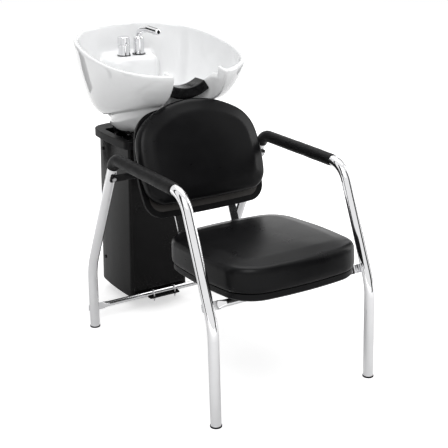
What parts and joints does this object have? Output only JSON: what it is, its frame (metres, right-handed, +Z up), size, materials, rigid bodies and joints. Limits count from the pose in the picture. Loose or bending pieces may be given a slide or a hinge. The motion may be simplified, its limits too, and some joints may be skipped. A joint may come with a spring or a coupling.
{
  "type": "backwash unit",
  "caption": "Chrome tube armchair with padded seat and back, tied by its low stretcher to a column that carries a tilting ceramic shampoo bowl with mixer, spout and neck rest.",
  "frame": {"origin": "on the floor under the middle of the unit's bounding box", "axes": "+Z up, +Y from the sitter back towards the column, +X to the right seen from the front (the sitter's left)"},
  "size_m": [0.598, 1.1619, 0.9858],
  "materials": {
    "chromed_steel": "polished",
    "black_upholstery": "satin black vinyl",
    "black_sleeve_foam": "satin",
    "black_plastic": "satin",
    "black_column_panel": "semi gloss",
    "plywood": "black stain",
    "zinc_steel": "zinc plated",
    "black_painted_steel": "satin",
    "black_rubber": "satin",
    "levelling_plastic": "matte",
    "white_glazed_ceramic": "glossy glaze",
    "stainless_steel": "brushed",
    "drain_plastic": "matte",
    "tap_chrome": "polished",
    "tap_brass": "machined"
  },
  "bodies": {
    "chair_and_column": {"side_frame_left": "chromed_steel", "side_frame_right": "chromed_steel", "foot_caps": "black_plastic", "arm_sleeve_left": "black_sleeve_foam", "arm_sleeve_right": "black_sleeve_foam", "front_seat_rail": "chromed_steel", "rear_back_rail": "black_painted_steel", "lower_stretcher": "chromed_steel", "rail_screws": "zinc_steel", "back_bar_left": "chromed_steel", "back_bar_right": "chromed_steel", "bar_screws": "zinc_steel", "seat_under_tray": "black_plastic", "seat_board": "plywood", "seat_cushion": "black_upholstery", "seat_bolts": "zinc_steel", "backrest_shell": "black_plastic", "backrest_board": "plywood", "backrest_cushion": "black_upholstery", "backrest_bolts": "zinc_steel", "column_shell": "black_column_panel", "column_rear_panel": "black_column_panel", "column_collar": "black_plastic", "panel_screws": "zinc_steel", "base_plate": "black_painted_steel", "stretcher_clamps": "zinc_steel", "clamp_nuts": "zinc_steel", "column_post": "black_painted_steel", "tilt_bracket": "black_painted_steel", "bracket_screws": "zinc_steel", "levelling_foot": "levelling_plastic", "levelling_nuts": "zinc_steel", "tilt_pins": "zinc_steel", "tilt_stops": "black_rubber"},
    "bowl_set": {"bowl": "white_glazed_ceramic", "neck_rest": "black_rubber", "tilt_cradle": "black_painted_steel", "cradle_gasket": "black_rubber", "cradle_bolts": "zinc_steel", "drain_flange": "stainless_steel", "drain_strainer": "stainless_steel", "drain_gasket": "black_rubber", "drain_nut": "drain_plastic", "drain_tailpiece": "drain_plastic", "drain_slip_nut": "drain_plastic", "mixer_gasket": "black_rubber", "mixer_body": "tap_chrome", "mixer_nut": "tap_brass", "spout_gasket": "black_rubber", "spout_base": "tap_chrome", "spout_nut": "tap_brass"},
    "mixer_turret": {"mixer_turret": "tap_chrome", "mixer_pin": "zinc_steel"},
    "mixer_cap": {"mixer_cap": "tap_chrome"},
    "spout": {"spout": "tap_chrome", "spout_aerator": "tap_chrome"}
  },
  "joints": [
    {"name": "bowl_tilt", "type": "hinge", "parent": "chair_and_column", "child": "bowl_set", "pos_m": [0, 0.48, 0.6], "axis": [-1, 0, 0], "range_deg": [0, 10]},
    {"name": "mixer_turn", "type": "hinge", "parent": "bowl_set", "child": "mixer_turret", "pos_m": [-0.029, 0.461, 0.92], "axis": [0, 0, 1], "range_deg": [-45, 45]},
    {"name": "mixer_lift", "type": "hinge", "parent": "mixer_turret", "child": "mixer_cap", "pos_m": [-0.029, 0.47, 0.9279], "axis": [-1, 0, 0], "range_deg": [0, 15]},
    {"name": "spout_swivel", "type": "hinge", "parent": "bowl_set", "child": "spout", "pos_m": [0.029, 0.461, 0.9], "axis": [0, 0, 1], "range_deg": [-45, 45]}
  ]
}
